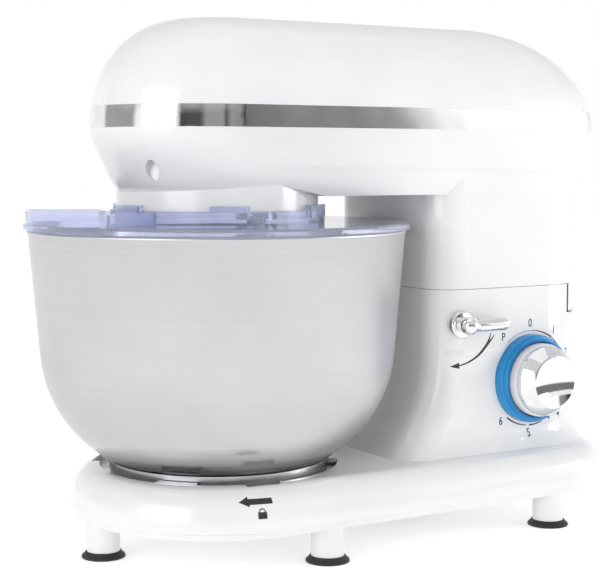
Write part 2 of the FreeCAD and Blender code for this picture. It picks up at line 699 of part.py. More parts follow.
def head_parts():
    """Lower housing, upper cover and the bright band that covers their joint."""
    shell, outer = head_shell()
    seat = band_seat(BAND_DEPTH)
    slab = box(-200, 400, -200, 200, BAND_BOTTOM, BAND_TOP)
    groove = slab.cut(seat)
    shell = shell.cut(groove)
    ledge = box(-200, 400, -200, 200, SPLIT_Z, 400)
    cover = shell.common(ledge)
    housing = shell.cut(ledge)
    housing = housing.fuse(hinge_barrel())
    neck_hole = cyl(52.0, 0, 0, 190, 226)
    housing = housing.cut(neck_hole)
    for side in (-1, 1):
        housing = housing.fuse(hinge_knuckle(side))
        cup = screw_recess(side, WALL, NOSE_RECESS_DEPTH + WALL).common(outer)
        housing = housing.fuse(cup).cut(screw_recess(side, 0, NOSE_RECESS_DEPTH))
    housing = cut(housing, [cyl_y(6.5, HINGE_X, HINGE_Z, -40, 40)])
    for side in (-1, 1):
        for x, y in COVER_SCREW_SPOTS:
            ends = sorted((side * (y - 5), side * (y + 11)))
            post = box(x - 5, x + 5, ends[0], ends[1], 215, SPLIT_Z).common(outer).cut(groove)
            housing = housing.fuse(post.cut(cyl(1.6, x, side * y, SPLIT_Z - 14, SPLIT_Z + 1)))
        boss = cyl(5.5, CHASSIS_LUG_X, side * CHASSIS_LUG_Y, HEAD_BOTTOM + 1, CHASSIS_Z)
        hole = cyl(1.6, CHASSIS_LUG_X, side * CHASSIS_LUG_Y, CHASSIS_Z - 14, CHASSIS_Z + 1)
        housing = housing.fuse(boss).cut(hole)
    band = slab.common(loft([outline(*head_section(z, -0.2), 0.96 * HEAD_HALF, TAIL_CORNER, z)
                             for z in (BAND_BOTTOM - 1, SPLIT_Z, BAND_TOP + 1)]))
    band = band.cut(band_seat(BAND_DEPTH - GAP))
    return housing, cover, band


def band_seat(inset):
    """Upright core that the band wraps, drawn in from the head's side at the band's top."""
    front, rear, half = head_section(BAND_TOP, inset)
    face = Part.Face(outline(front, rear, half, half * 0.96, TAIL_CORNER - inset, BAND_BOTTOM - 2))
    return face.extrude(V(0, 0, BAND_TOP - BAND_BOTTOM + 4))


def screw_recess(side, grow, depth):
    """Oval recess in the side of the nose, pointing in towards the neck."""
    mouth = V(NOSE_RECESS_X, side * NOSE_RECESS_Y, NOSE_RECESS_Z)
    inward = V(0.80, -side * 0.60, 0.0)
    oval = Part.Ellipse(mouth + V(0, 0, NOSE_RECESS_HIGH + grow),
                        mouth + V(0.60, side * 0.80, 0.0) * (NOSE_RECESS_WIDE + grow), mouth)
    face = Part.Face(Part.Wire(oval.toShape()))
    face.translate(inward * -4)
    return face.extrude(inward * (depth + 4))


def hinge_knuckle(side):
    """Ear inside the housing that carries a hinge bush."""
    y0 = 26 if side > 0 else -34
    ear = fuse([cyl_y(10, HINGE_X, HINGE_Z, y0, y0 + 8),
                box(HINGE_X - 3, COLUMN_REAR - 1.5, y0, y0 + 8, HINGE_Z, HINGE_Z + 12)])
    return ear


def hinge_bushes():
    return [tube_y(6.5, HINGE_PIN_R + RUN, HINGE_X, HINGE_Z, y, y + 8) for y in (-34, 26)]


def neck_skirt():
    """Round skirt under the gearbox; the splash guard's collar turns round it."""
    wall = tube(NECK_R, NECK_R - 2.5, 0, 0, NECK_Z, CHIN_Z)
    above = [(-120, CHIN_Z - CHIN_DROP), (8, CHIN_Z), (42, HEAD_BOTTOM), (120, HEAD_BOTTOM),
             (120, CHIN_Z + 9), (-120, CHIN_Z + 9)]
    return wall.cut(prism_y(above, -100, 100))


def ring_gear():
    """Fixed internal gear above the neck."""
    points = gear_points(RING_TEETH, MODULE, 1.15 * MODULE, 0.75 * MODULE, 0.13, 0.0, True)
    blank = cyl(47.0, 0, 0, PLANET_Z, PLANET_Z + PLANET_T)
    return blank.cut(prism_z(points, PLANET_Z - 1, PLANET_Z + PLANET_T + 1))


def gearbox_chassis():
    """Cast plate that carries the main shaft, the countershaft and the ring gear."""
    plate = fuse([cyl(52, 0, 0, CHASSIS_Z, CHASSIS_Z + CHASSIS_T),
                  box(0, 100, -40, 40, CHASSIS_Z, CHASSIS_Z + CHASSIS_T)])
    wall = tube(52, 47.0, 0, 0, PLANET_Z, CHASSIS_Z)
    boss_main = cyl(12, 0, 0, CHASSIS_Z - 2.5, CHASSIS_Z + 7)
    boss_counter = cyl(10, COUNTER_X, 0, CHASSIS_Z - 8, CHASSIS_Z + 5)
    chassis = fuse([plate, wall, boss_main, boss_counter])
    bridge = fuse([box(-6, COUNTER_X + 10, -14, 14, 258, 262),
                   box(COUNTER_X + 22, COUNTER_X + 30, -30, 30, CHASSIS_Z, 262),
                   box(COUNTER_X, COUNTER_X + 30, -14, 14, 258, 262)])
    chassis = chassis.fuse(bridge)
    holes = [cyl(9.0, 0, 0, 200, 300), cyl(8.0, COUNTER_X, 0, 200, 300)]
    lugs = []
    for side in (-1, 1):
        y = side * CHASSIS_LUG_Y
        lugs.append(box(84, 96, min(y, 0), max(y, 0), CHASSIS_Z, CHASSIS_Z + CHASSIS_T))
        lugs.append(cyl(6, CHASSIS_LUG_X, y, CHASSIS_Z, CHASSIS_Z + CHASSIS_T))
    chassis = fuse([chassis] + lugs)
    return cut(chassis, holes + [cyl(1.8, CHASSIS_LUG_X, s * CHASSIS_LUG_Y, 200, 257) for s in (-1, 1)])


def bearings():
    """Bronze bushes for the main shaft and the countershaft."""
    return [tube(9.0, MAIN_SHAFT_R + RUN, 0, 0, CHASSIS_Z - 2.5, CHASSIS_Z + 6),
            tube(9.0, MAIN_SHAFT_R + RUN, 0, 0, 258, 262),
            tube(8.0, COUNTER_R + RUN, COUNTER_X, 0, CHASSIS_Z - 6, CHASSIS_Z + 4),
            tube(8.0, COUNTER_R + RUN, COUNTER_X, 0, 258, 264)]


def main_gear():
    body = gear(MAIN_TEETH, 0.0, 0, MAIN_GEAR_Z, MAIN_GEAR_T)
    web = [tube(44, 14, 0, 0, MAIN_GEAR_Z + MAIN_GEAR_T - 4, MAIN_GEAR_Z + MAIN_GEAR_T + 1)]
    web.append(cyl(MAIN_SHAFT_R, 0, 0, 200, 300))
    return cut(body, web)


def main_shaft():
    return cyl(MAIN_SHAFT_R, 0, 0, 206, 266)


def pinion():
    phase = 180.0 + 180.0 / PINION_TEETH
    body = gear(PINION_TEETH, phase, COUNTER_X, MAIN_GEAR_Z - 1, MAIN_GEAR_T + 2)
    return body.cut(cyl(COUNTER_R, COUNTER_X, 0, 200, 300))


def countershaft():
    return cyl(COUNTER_R, COUNTER_X, 0, CHASSIS_Z - 6, PULLEY_Z + PULLEY_T + 2)


def large_pulley():
    rim = tube(PULLEY_R, PULLEY_R - 5, COUNTER_X, 0, PULLEY_Z, PULLEY_Z + PULLEY_T)
    flange = tube(PULLEY_R + 2.5, PULLEY_R - 5, COUNTER_X, 0, PULLEY_Z - 1.5, PULLEY_Z)
    web = cyl(PULLEY_R - 4, COUNTER_X, 0, PULLEY_Z + 4, PULLEY_Z + 8)
    hub = cyl(11, COUNTER_X, 0, PULLEY_Z - 6, PULLEY_Z + PULLEY_T)
    pulley = fuse([rim, flange, web, hub])
    windows = [cyl(9, COUNTER_X + 27 * math.cos(a), 27 * math.sin(a), 270, 300)
               for a in [math.pi / 3 * i for i in range(6)]]
    return cut(pulley, windows + [cyl(COUNTER_R, COUNTER_X, 0, 200, 320)])


def motor_pulley():
    body = cyl(MOTOR_PULLEY_R, MOTOR_X, 0, PULLEY_Z, PULLEY_Z + PULLEY_T)
    flange = cyl(MOTOR_PULLEY_R + 2.5, MOTOR_X, 0, PULLEY_Z - 1.5, PULLEY_Z)
    return fuse([body, flange]).cut(cyl(MOTOR_SHAFT_R, MOTOR_X, 0, 200, 320))


def belt_loop(extra, z0, z1):
    """Solid bounded by the belt's line round both pulleys, grown by extra."""
    r_big = PULLEY_R + 0.25 + extra
    r_small = MOTOR_PULLEY_R + 0.25 + extra
    span = MOTOR_X - COUNTER_X
    lean = math.acos((r_big - r_small) / span)
    big = [V(COUNTER_X + r_big * math.cos(a), r_big * math.sin(a), z0) for a in (lean, math.pi, -lean)]
    small = [V(MOTOR_X + r_small * math.cos(a), r_small * math.sin(a), z0) for a in (-lean, 0.0, lean)]
    wire = Part.Wire([Part.Arc(*big).toShape(), Part.makeLine(big[2], small[0]),
                      Part.Arc(*small).toShape(), Part.makeLine(small[2], big[0])])
    return Part.Face(wire).extrude(V(0, 0, z1 - z0))


def drive_belt():
    z0 = PULLEY_Z + 0.6
    z1 = PULLEY_Z + PULLEY_T - 1.0
    return belt_loop(BELT_T, z0, z1).cut(belt_loop(0.0, z0 - 1, z1 + 1))


def motor_stator():
    """Laminated stack with two pole shoes round the armature."""
    ring = tube(STATOR_R, 33.0, MOTOR_X, 0, STATOR_Z0, STATOR_Z1)
    ring = ring.common(box(MOTOR_X - 50, MOTOR_X + 50, -36, 36, 150, 300))
    shoes = []
    for side in (-1, 1):
        neck = box(MOTOR_X + (22 if side > 0 else -35), MOTOR_X + (35 if side > 0 else -22), -9, 9,
                   STATOR_Z0, STATOR_Z1)
        arc = tube(25.0, 20.8, MOTOR_X, 0, STATOR_Z0, STATOR_Z1)
        x0 = MOTOR_X + (8 if side > 0 else -30)
        arc = arc.common(box(x0, x0 + 22, -40, 40, STATOR_Z0, STATOR_Z1))
        shoes.append(neck.cut(cyl(20.8, MOTOR_X, 0, 150, 300)))
        shoes.append(arc)
    return fuse([ring] + shoes)


def field_coils():
    """Copper field windings round each pole, above and below the stack."""
    coils = []
    for side in (-1, 1):
        x0 = MOTOR_X + (25.4 if side > 0 else -30.0)
        outer = box(x0, x0 + 4.6, -13, 13, STATOR_Z0 - 6, STATOR_Z1 + 6)
        inner = box(x0 - 1, x0 + 8, -9.2, 9.2, STATOR_Z0 - 0.2, STATOR_Z1 + 0.2)
        coils.append(outer.cut(inner))
    return coils


def motor_bracket(z, bearing_z):
    bar = fuse([box(MOTOR_X - 40, MOTOR_X + 40, -11, 11, z, z + 4), cyl(13, MOTOR_X, 0, z - 4, z + 4)])
    legs = []
    for side in (-1, 1):
        x0 = MOTOR_X + side * 38 - 2
        low = min(z, STATOR_Z0) if z < STATOR_Z0 else STATOR_Z1
        high = STATOR_Z0 if z < STATOR_Z0 else z
        legs.append(box(x0 - 1, x0 + 3, -11, 11, low, high))
    bracket = fuse([bar] + legs)
    return bracket.cut(cyl(9.0, MOTOR_X, 0, z - 10, z + 10))


def motor_bearings():
    return [tube(9.0, MOTOR_SHAFT_R + RUN, MOTOR_X, 0, z, z + 8) for z in (MOTOR_LOW_Z - 4, MOTOR_HIGH_Z - 4)]


def armature_core():
    """Slotted rotor stack."""
    core = cyl(20.0, MOTOR_X, 0, STATOR_Z0 + 1, STATOR_Z1 - 1)
    slots = []
    for i in range(12):
        slot = box(15.0, 21, -1.1, 1.1, STATOR_Z0, STATOR_Z1)
        slot.rotate(V(0, 0, 0), Z_AXIS, 30 * i)
        slot.translate(V(MOTOR_X, 0, 0))
        slots.append(slot)
    return cut(core, slots + [cyl(MOTOR_SHAFT_R, MOTOR_X, 0, 100, 320)])


def armature_windings():
    coils = [tube(16.5, 9.0, MOTOR_X, 0, STATOR_Z1 - 1, STATOR_Z1 + 7),
             tube(16.5, 9.0, MOTOR_X, 0, STATOR_Z0 - 6, STATOR_Z0 + 1)]
    return coils


def commutator():
    body = tube(11.0, MOTOR_SHAFT_R, MOTOR_X, 0, STATOR_Z1 + 9, STATOR_Z1 + 22)
    grooves = []
    for i in range(12):
        groove = box(10.0, 12, -0.3, 0.3, STATOR_Z1 + 8, STATOR_Z1 + 20)
        groove.rotate(V(0, 0, 0), Z_AXIS, 30 * i)
        groove.translate(V(MOTOR_X, 0, 0))
        grooves.append(groove)
    return cut(body, grooves)


def carbon_brushes():
    """Brush tubes either side of the commutator, with the carbons inside."""
    z0 = STATOR_Z1 + 11
    tubes = []
    for side in (-1, 1):
        y0 = 11.4 if side > 0 else -31.4
        tubes.append(box(MOTOR_X - 3.5, MOTOR_X + 3.5, y0, y0 + 20, z0, z0 + 8))
    return tubes


def cooling_fan():
    hub = tube(9.0, MOTOR_SHAFT_R, MOTOR_X, 0, 174.5, 180.5)
    disc = tube(32, 8.5, MOTOR_X, 0, 174.5, 175.7)
    blades = []
    for i in range(9):
        blade = box(10, 31, -0.6, 0.6, 175.5, 179.5)
        blade.rotate(V(0, 0, 0), Z_AXIS, 40 * i)
        blade.translate(V(MOTOR_X, 0, 0))
        blades.append(blade)
    return fuse([hub, disc] + blades)


def motor_shaft():
    return cyl(MOTOR_SHAFT_R, MOTOR_X, 0, 163, PULLEY_Z + PULLEY_T + 3)


def latch_catch():
    """Steel ledge on the head's front wall that the hook's nose lies beside."""
    wall_x = COLUMN_FRONT + WALL
    return fuse([box(wall_x, LEVER_X - HOOK_REACH - 2 * GAP, -36, -26, 149.0, 153.0),
                 box(wall_x, wall_x + 2, -36, -26, 149.0, 166.0)])


def chassis_screws():
    return [screw(CHASSIS_LUG_X, s * CHASSIS_LUG_Y, CHASSIS_Z + CHASSIS_T, 12, up=False) for s in (-1, 1)]


def cover_screws():
    """Long screws that hold the cover down on the lower housing's posts."""
    return [screw(x, s * y, SPLIT_Z + 0.2, 12, up=False, head_r=2.6, shank_r=1.55)
            for x, y in COVER_SCREW_SPOTS for s in (-1, 1)]


# ---------------------------------------------------------------- planet and tool
def planet_carrier():
    """Dished carrier that fills the neck; the tool's spindle runs in its boss."""
    disc = cyl(55.0, 0, 0, NECK_Z + 1, NECK_Z + 5)
    rim = tube(55.0, 51.5, 0, 0, NECK_Z + 4, NECK_Z + 8)
    hub = cyl(12.0, 0, 0, NECK_Z + 4, PLANET_Z - 2)
    boss = cyl(13.0, TOOL_OFFSET, 0, NECK_Z - 6, PLANET_Z - 2)
    carrier = fuse([disc, rim, hub, boss])
    return cut(carrier, [cyl(MAIN_SHAFT_R, 0, 0, 206, 300), cyl(9.0, TOOL_OFFSET, 0, 150, 300)])


def spindle_bushes():
    return [tube(9.0, SPINDLE_R + RUN, TOOL_OFFSET, 0, z, z + 8) for z in (NECK_Z - 6, PLANET_Z - 10)]


def planet_pinion():
    body = gear(PLANET_TEETH, 0.0, TOOL_OFFSET, PLANET_Z + 0.5, PLANET_T - 1, addendum=0.75)
    return body.cut(cyl(SPINDLE_R, TOOL_OFFSET, 0, 150, 300))


def tool_spindle():
    return cyl(SPINDLE_R, TOOL_OFFSET, 0, 168, PLANET_Z + PLANET_T)


def drive_pin():
    """Cross pin that drives the tool's bayonet socket."""
    return cyl_y(1.6, TOOL_OFFSET, 176, -9.5, 9.5)


def flat_beater():
    """Cast flat beater with a socket, an outer frame, a stem and two ribs."""
    x = TOOL_OFFSET
    socket = tube(9.0, SPINDLE_R + 0.05, x, 0, 160, 186)
    socket = socket.fuse(cyl(9.0, x, 0, 150, 161))
    socket = cut(socket, [cyl_y(1.7, x, 176, -12, 12), cyl(SPINDLE_R + 0.05, x, 0, 167, 190)])
    frame = beater_plate(0.0).cut(beater_plate(7.5))
    stem = box(x - 4, x + 4, -4, 4, 60, 152)
    ribs = [box(x - 40, x + 40, -3, 3, z, z + 7) for z in (84, 112)]
    ribs = [rib.common(beater_plate(1.0)) for rib in ribs]
    return fuse([socket, frame, stem] + ribs)


def beater_plate(inset):
    """Flat spade outline, drawn in by inset."""
    x = TOOL_OFFSET
    half = 55.0 - inset
    low = 52.0 + inset
    high = 146.0 - inset
    points = [(x - 12, high), (x - half, high - 34), (x - half, low + 34), (x - 30, low + 8),
              (x - 16, low), (x + 16, low), (x + 30, low + 8), (x + half, low + 34),
              (x + half, high - 34), (x + 12, high)]
    if inset:
        points = [(x + (px - x) * (1 if abs(px - x) > 20 else 0.8), pz) for px, pz in points]
    return prism_y(points, -3.5, 3.5)


# ---------------------------------------------------------------- export
def build():
    housing, cover, band = head_parts()
    return {
        "base_housing": base_housing(),
        "bottom_plate": bottom_plate(),
        "suction_feet": suction_feet(),
        "bottom_screws": bottom_screws(),
        "bowl_lock_plate": bowl_lock_plate(),
        "lock_plate_screws": lock_plate_screws(),
        "lock_tabs": lock_tabs(),
        "hinge_bracket": hinge_bracket(),
        "bracket_screws": bracket_screws(),
        "hinge_pin": hinge_pin(),
        "lever_bush": lever_bush(),
        "lever_spring": lever_spring(),
        "knob_light_ring": light_ring(),
        "control_board": control_board(),
        "speed_switch": speed_switch(),
        "cord_inlet": cord_inlet(),
        "terminal_block": terminal_block(),
        "tilt_lever": tilt_lever(),
        "lever_shaft": lever_shaft(),
        "latch_hook": latch_hook(),
        "speed_knob": speed_knob(),
        "knob_cap": knob_cap(),
        "knob_shaft": knob_shaft(),
        "mixing_bowl": bowl(),
        "bowl_foot_ring": bowl_foot_ring(),
        "splash_guard": splash_guard(),
        "head_housing": housing,
        "head_cover": cover,
        "trim_band": band,
        "hinge_bushes": hinge_bushes(),
        "neck_skirt": neck_skirt(),
        "ring_gear": ring_gear(),
        "gearbox_chassis": gearbox_chassis(),
        "shaft_bushes": bearings(),
        "chassis_screws": chassis_screws(),
        "cover_screws": cover_screws(),
        "latch_catch": latch_catch(),
        "drive_belt": drive_belt(),
        "motor_stator": motor_stator(),
        "field_coils": field_coils(),
        "motor_lower_bracket": motor_bracket(MOTOR_LOW_Z, MOTOR_LOW_Z),
        "motor_upper_bracket": motor_bracket(MOTOR_HIGH_Z, MOTOR_HIGH_Z),
        "motor_bearings": motor_bearings(),
        "carbon_brushes": carbon_brushes(),
        "motor_shaft": motor_shaft(),
        "armature_core": armature_core(),
        "armature_windings": armature_windings(),
        "commutator": commutator(),
        "cooling_fan": cooling_fan(),
        "motor_pulley": motor_pulley(),
        "countershaft": countershaft(),
        "counter_pinion": pinion(),
        "large_pulley": large_pulley(),
        "main_gear": main_gear(),
        "main_shaft": main_shaft(),
        "planet_carrier": planet_carrier(),
        "spindle_bushes": spindle_bushes(),
        "planet_pinion": planet_pinion(),
        "tool_spindle": tool_spindle(),
        "flat_beater": flat_beater(),
    }


os.makedirs("parts", exist_ok=True)
for node, shape in build().items():
    if isinstance(shape, list):
        shape = Part.makeCompound(shape)
    shape.translate(V(SHIFT_X, 0, -FLOOR_Z))
    shape.exportStep("parts/" + node + ".step")
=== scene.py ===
import json
import math

import bmesh
import bpy
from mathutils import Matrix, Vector
from mathutils.bvhtree import BVHTree


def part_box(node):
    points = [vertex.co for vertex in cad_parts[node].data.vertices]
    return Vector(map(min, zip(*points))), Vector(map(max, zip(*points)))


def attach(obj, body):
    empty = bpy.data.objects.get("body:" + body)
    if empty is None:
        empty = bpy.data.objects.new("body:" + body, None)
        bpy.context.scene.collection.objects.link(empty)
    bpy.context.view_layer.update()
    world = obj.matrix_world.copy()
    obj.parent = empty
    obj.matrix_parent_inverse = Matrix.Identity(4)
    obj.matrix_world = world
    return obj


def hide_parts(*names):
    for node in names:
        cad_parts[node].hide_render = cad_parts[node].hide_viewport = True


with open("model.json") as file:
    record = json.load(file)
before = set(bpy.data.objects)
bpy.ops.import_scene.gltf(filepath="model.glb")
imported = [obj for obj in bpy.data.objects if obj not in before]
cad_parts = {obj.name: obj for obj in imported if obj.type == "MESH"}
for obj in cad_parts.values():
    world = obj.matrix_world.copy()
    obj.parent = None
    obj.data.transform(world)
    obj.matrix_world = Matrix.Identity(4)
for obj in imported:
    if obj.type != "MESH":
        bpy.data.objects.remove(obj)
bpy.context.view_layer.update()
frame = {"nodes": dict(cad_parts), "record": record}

# Stand mixer.  Piece sizes are in millimetres and are turned into metres when a mesh is made.
# The knob side of the mixer faces -Y and the nose points to -X.
MM = 0.001
NODES = frame["nodes"]


def middle(node):
    low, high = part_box(node)
    return (low + high) / 2


BOWL_X = middle("mixing_bowl").x / MM
TOOL_X = middle("tool_spindle").x / MM
KNOB = middle("knob_cap") / MM
LEVER = middle("lever_shaft") / MM

# Levels, sizes and places that the pieces share.
KNOB_SEAT_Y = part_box("knob_light_ring")[1].y / MM
SIDE_Y = -62.0
BOWL_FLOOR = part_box("mixing_bowl")[0].z / MM
BOWL_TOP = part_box("mixing_bowl")[1].z / MM
BOWL_RIM = (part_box("mixing_bowl")[1].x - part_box("mixing_bowl")[0].x) / 2 / MM
RING_R = (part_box("knob_light_ring")[1].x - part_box("knob_light_ring")[0].x) / 2 / MM
FEET = [(-78, 0), (31, -77.5), (31, 77.5), (201, -75.5), (201, 75.5)]


# ---------------------------------------------------------------- shader helpers
def new_material(name):
    material = bpy.data.materials.new(name)
    material.use_nodes = True
    tree = material.node_tree
    return material, tree.nodes, tree.links, tree.nodes["Principled BSDF"]


def place(nodes, links, scale=(1, 1, 1)):
    """Object coordinates, stretched by scale."""
    source = nodes.new("ShaderNodeTexCoord")
    mapping = nodes.new("ShaderNodeMapping")
    mapping.inputs["Scale"].default_value = scale
    links.new(source.outputs["Object"], mapping.inputs["Vector"])
    return mapping.outputs["Vector"]


def noise(nodes, links, vector, scale, detail=4.0):
    texture = nodes.new("ShaderNodeTexNoise")
    texture.inputs["Scale"].default_value = scale
    texture.inputs["Detail"].default_value = detail
    links.new(vector, texture.inputs["Vector"])
    return texture.outputs["Fac"]


def ramp(nodes, links, value, low, high, start=0.35, end=0.65):
    """Blend from low to high, which are colours or grey levels, as value goes from start to end."""
    node = nodes.new("ShaderNodeValToRGB")
    for element, spot, tone in zip(node.color_ramp.elements, (start, end), (low, high)):
        element.position = spot
        element.color = (*tone, 1) if isinstance(tone, tuple) else (tone, tone, tone, 1)
    links.new(value, node.inputs["Fac"])
    return node.outputs["Color"]


def blend(nodes, links, factor, first, second, mode="MIX"):
    node = nodes.new("ShaderNodeMix")
    node.data_type = "RGBA"
    node.blend_type = mode
    if isinstance(factor, float):
        node.inputs["Factor"].default_value = factor
    else:
        links.new(factor, node.inputs["Factor"])
    for socket, value in (("A", first), ("B", second)):
        target = [s for s in node.inputs if s.name == socket and s.type == "RGBA"][0]
        if isinstance(value, tuple):
            target.default_value = (*value, 1)
        else:
            links.new(value, target)
    return [s for s in node.outputs if s.type == "RGBA"][0]


def bump(nodes, links, value, shader, strength, distance):
    node = nodes.new("ShaderNodeBump")
    node.inputs["Strength"].default_value = strength
    node.inputs["Distance"].default_value = distance
    links.new(value, node.inputs["Height"])
    links.new(node.outputs["Normal"], shader.inputs["Normal"])


def edge_wear(nodes, links, amount):
    """1 on sharp outer edges, fading to 0 on flat faces, broken up by noise."""
    geometry = nodes.new("ShaderNodeNewGeometry")
    edge = ramp(nodes, links, geometry.outputs["Pointiness"], 0.0, amount, 0.52, 0.62)
    patches = noise(nodes, links, place(nodes, links), 260.0)
    return blend(nodes, links, 1.0, edge, ramp(nodes, links, patches, 0.0, 1.0), "MULTIPLY")


# ---------------------------------------------------------------- materials
def plastic(name, light, dark, rough, relief=0.00001, coat=0.0, worn=None):
    """Moulded plastic or rubber: a drift of tone, uneven gloss, fine texture and rubbed edges."""
    material, nodes, links, shader = new_material(name)
    vector = place(nodes, links)
    tone = ramp(nodes, links, noise(nodes, links, vector, 18.0), dark, light)
    specks = ramp(nodes, links, noise(nodes, links, vector, 900.0, 2.0), 0.97, 1.0)
    tone = blend(nodes, links, 1.0, tone, specks, "MULTIPLY")
    if worn:
        tone = blend(nodes, links, edge_wear(nodes, links, 0.5), tone, worn)
    links.new(tone, shader.inputs["Base Color"])
    gloss = noise(nodes, links, vector, 45.0)
    links.new(ramp(nodes, links, gloss, rough * 0.8, rough * 1.3), shader.inputs["Roughness"])
    bump(nodes, links, noise(nodes, links, vector, 1100.0, 2.0), shader, 0.3, relief)
    shader.inputs["Coat Weight"].default_value = coat
    shader.inputs["Coat Roughness"].default_value = 0.04
    return material


def metal(name, light, dark, rough, grain=(300, 300, 300), relief=0.00001, strength=0.2):
    """Metal whose machining or drawing marks run across the long axis of the grain scale."""
    material, nodes, links, shader = new_material(name)
    shader.inputs["Metallic"].default_value = 1.0
    marks = noise(nodes, links, place(nodes, links, grain), 1.0, 6.0)
    smudge = noise(nodes, links, place(nodes, links), 30.0)
    tone = ramp(nodes, links, smudge, dark, light)
    tone = blend(nodes, links, 1.0, tone, ramp(nodes, links, marks, 0.9, 1.0), "MULTIPLY")
    links.new(tone, shader.inputs["Base Color"])
    streaks = ramp(nodes, links, marks, rough * 0.75, rough * 1.3)
    dull = ramp(nodes, links, smudge, 0.9, 1.0)
    links.new(blend(nodes, links, 1.0, streaks, dull, "MULTIPLY"), shader.inputs["Roughness"])
    bump(nodes, links, marks, shader, strength, relief)
    return material


def brushed_bowl():
    """Spun steel: fine rings round the axis, stretched highlights and a polished foot."""
    material, nodes, links, shader = new_material("bowl_steel")
    shader.inputs["Metallic"].default_value = 1.0
    shader.inputs["Anisotropic"].default_value = 0.65
    rings = noise(nodes, links, place(nodes, links, (3, 3, 4200)), 1.0, 2.0)
    coarse = noise(nodes, links, place(nodes, links, (4, 4, 1100)), 1.0, 2.0)
    smudge = noise(nodes, links, place(nodes, links), 16.0)
    tone = ramp(nodes, links, smudge, (0.58, 0.58, 0.585), (0.62, 0.62, 0.625))
    tone = blend(nodes, links, 1.0, tone, ramp(nodes, links, rings, 0.95, 1.0), "MULTIPLY")
    links.new(tone, shader.inputs["Base Color"])
    spots = nodes.new("ShaderNodeTexCoord")
    split = nodes.new("ShaderNodeSeparateXYZ")
    links.new(spots.outputs["Object"], split.inputs["Vector"])
    polished_top = (BOWL_FLOOR + 17) * MM
    height = ramp(nodes, links, split.outputs["Z"], 0.0, 1.0, polished_top - 0.002, polished_top + 0.002)
    brushed = ramp(nodes, links, coarse, 0.29, 0.33)
    links.new(blend(nodes, links, height, (0.2, 0.2, 0.2), brushed), shader.inputs["Roughness"])
    tangent = nodes.new("ShaderNodeTangent")
    tangent.direction_type = "RADIAL"
    tangent.axis = "Z"
    links.new(tangent.outputs["Tangent"], shader.inputs["Tangent"])
    bump(nodes, links, rings, shader, 0.08, 0.00001)
    return material


def tinted_clear():
    """Clear moulded plastic with a violet-blue cast and faint flow lines."""
    material, nodes, links, shader = new_material("tinted_clear")
    vector = place(nodes, links)
    drift = noise(nodes, links, vector, 20.0)
    tint = ramp(nodes, links, drift, (0.76, 0.8, 1.0), (0.84, 0.87, 1.0))
    links.new(tint, shader.inputs["Base Color"])
    links.new(ramp(nodes, links, noise(nodes, links, vector, 80.0), 0.02, 0.05), shader.inputs["Roughness"])
    bump(nodes, links, noise(nodes, links, vector, 220.0), shader, 0.1, 0.00002)
    shader.inputs["Transmission Weight"].default_value = 0.78
    shader.inputs["IOR"].default_value = 1.22
    return material


def light_ring_blue():
    """Translucent blue plastic, deeper in the thick steps, with a faint painted glow as if lit from behind.
    """
    material, nodes, links, shader = new_material("blue_light_ring")
    vector = place(nodes, links)
    streaks = noise(nodes, links, place(nodes, links, (30, 160, 30)), 1.0, 3.0)
    source = nodes.new("ShaderNodeTexCoord")
    flat = nodes.new("ShaderNodeMapping")
    flat.inputs["Scale"].default_value = (1, 0, 1)
    flat.inputs["Location"].default_value = (-KNOB.x * MM, 0, -KNOB.z * MM)
    links.new(source.outputs["Object"], flat.inputs["Vector"])
    radius = nodes.new("ShaderNodeVectorMath")
    radius.operation = "LENGTH"
    links.new(flat.outputs["Vector"], radius.inputs[0])
    step = (RING_R - 1.6) * MM
    outer = ramp(nodes, links, radius.outputs["Value"], 0.0, 1.0, step - 0.0002, step + 0.0002)
    deep = ramp(nodes, links, streaks, (0.0, 0.06, 0.24), (0.0, 0.11, 0.34), 0.3, 0.72)
    bright = ramp(nodes, links, streaks, (0.005, 0.2, 0.5), (0.02, 0.33, 0.68), 0.3, 0.72)
    tone = blend(nodes, links, outer, deep, bright)
    links.new(tone, shader.inputs["Base Color"])
    # The same blue also drives a weak emission: a painted glow, since no lamp sits behind the ring.
    links.new(tone, shader.inputs["Emission Color"])
    shader.inputs["Emission Strength"].default_value = 0.08
    links.new(ramp(nodes, links, noise(nodes, links, vector, 70.0), 0.05, 0.12), shader.inputs["Roughness"])
    bump(nodes, links, streaks, shader, 0.15, 0.00008)
    shader.inputs["Transmission Weight"].default_value = 0.1
    shader.inputs["IOR"].default_value = 1.46
    return material


def printed_ink():
    """Pad-printed ink: nearly black, slightly uneven."""
    material, nodes, links, shader = new_material("printed_ink")
    vector = place(nodes, links)
    blotches = noise(nodes, links, vector, 700.0)
    tone = ramp(nodes, links, blotches, (0.012, 0.012, 0.014), (0.035, 0.035, 0.038))
    links.new(tone, shader.inputs["Base Color"])
    gloss = noise(nodes, links, vector, 300.0)
    links.new(ramp(nodes, links, gloss, 0.35, 0.55), shader.inputs["Roughness"])
    bump(nodes, links, noise(nodes, links, vector, 2500.0), shader, 0.2, 0.00001)
    return material


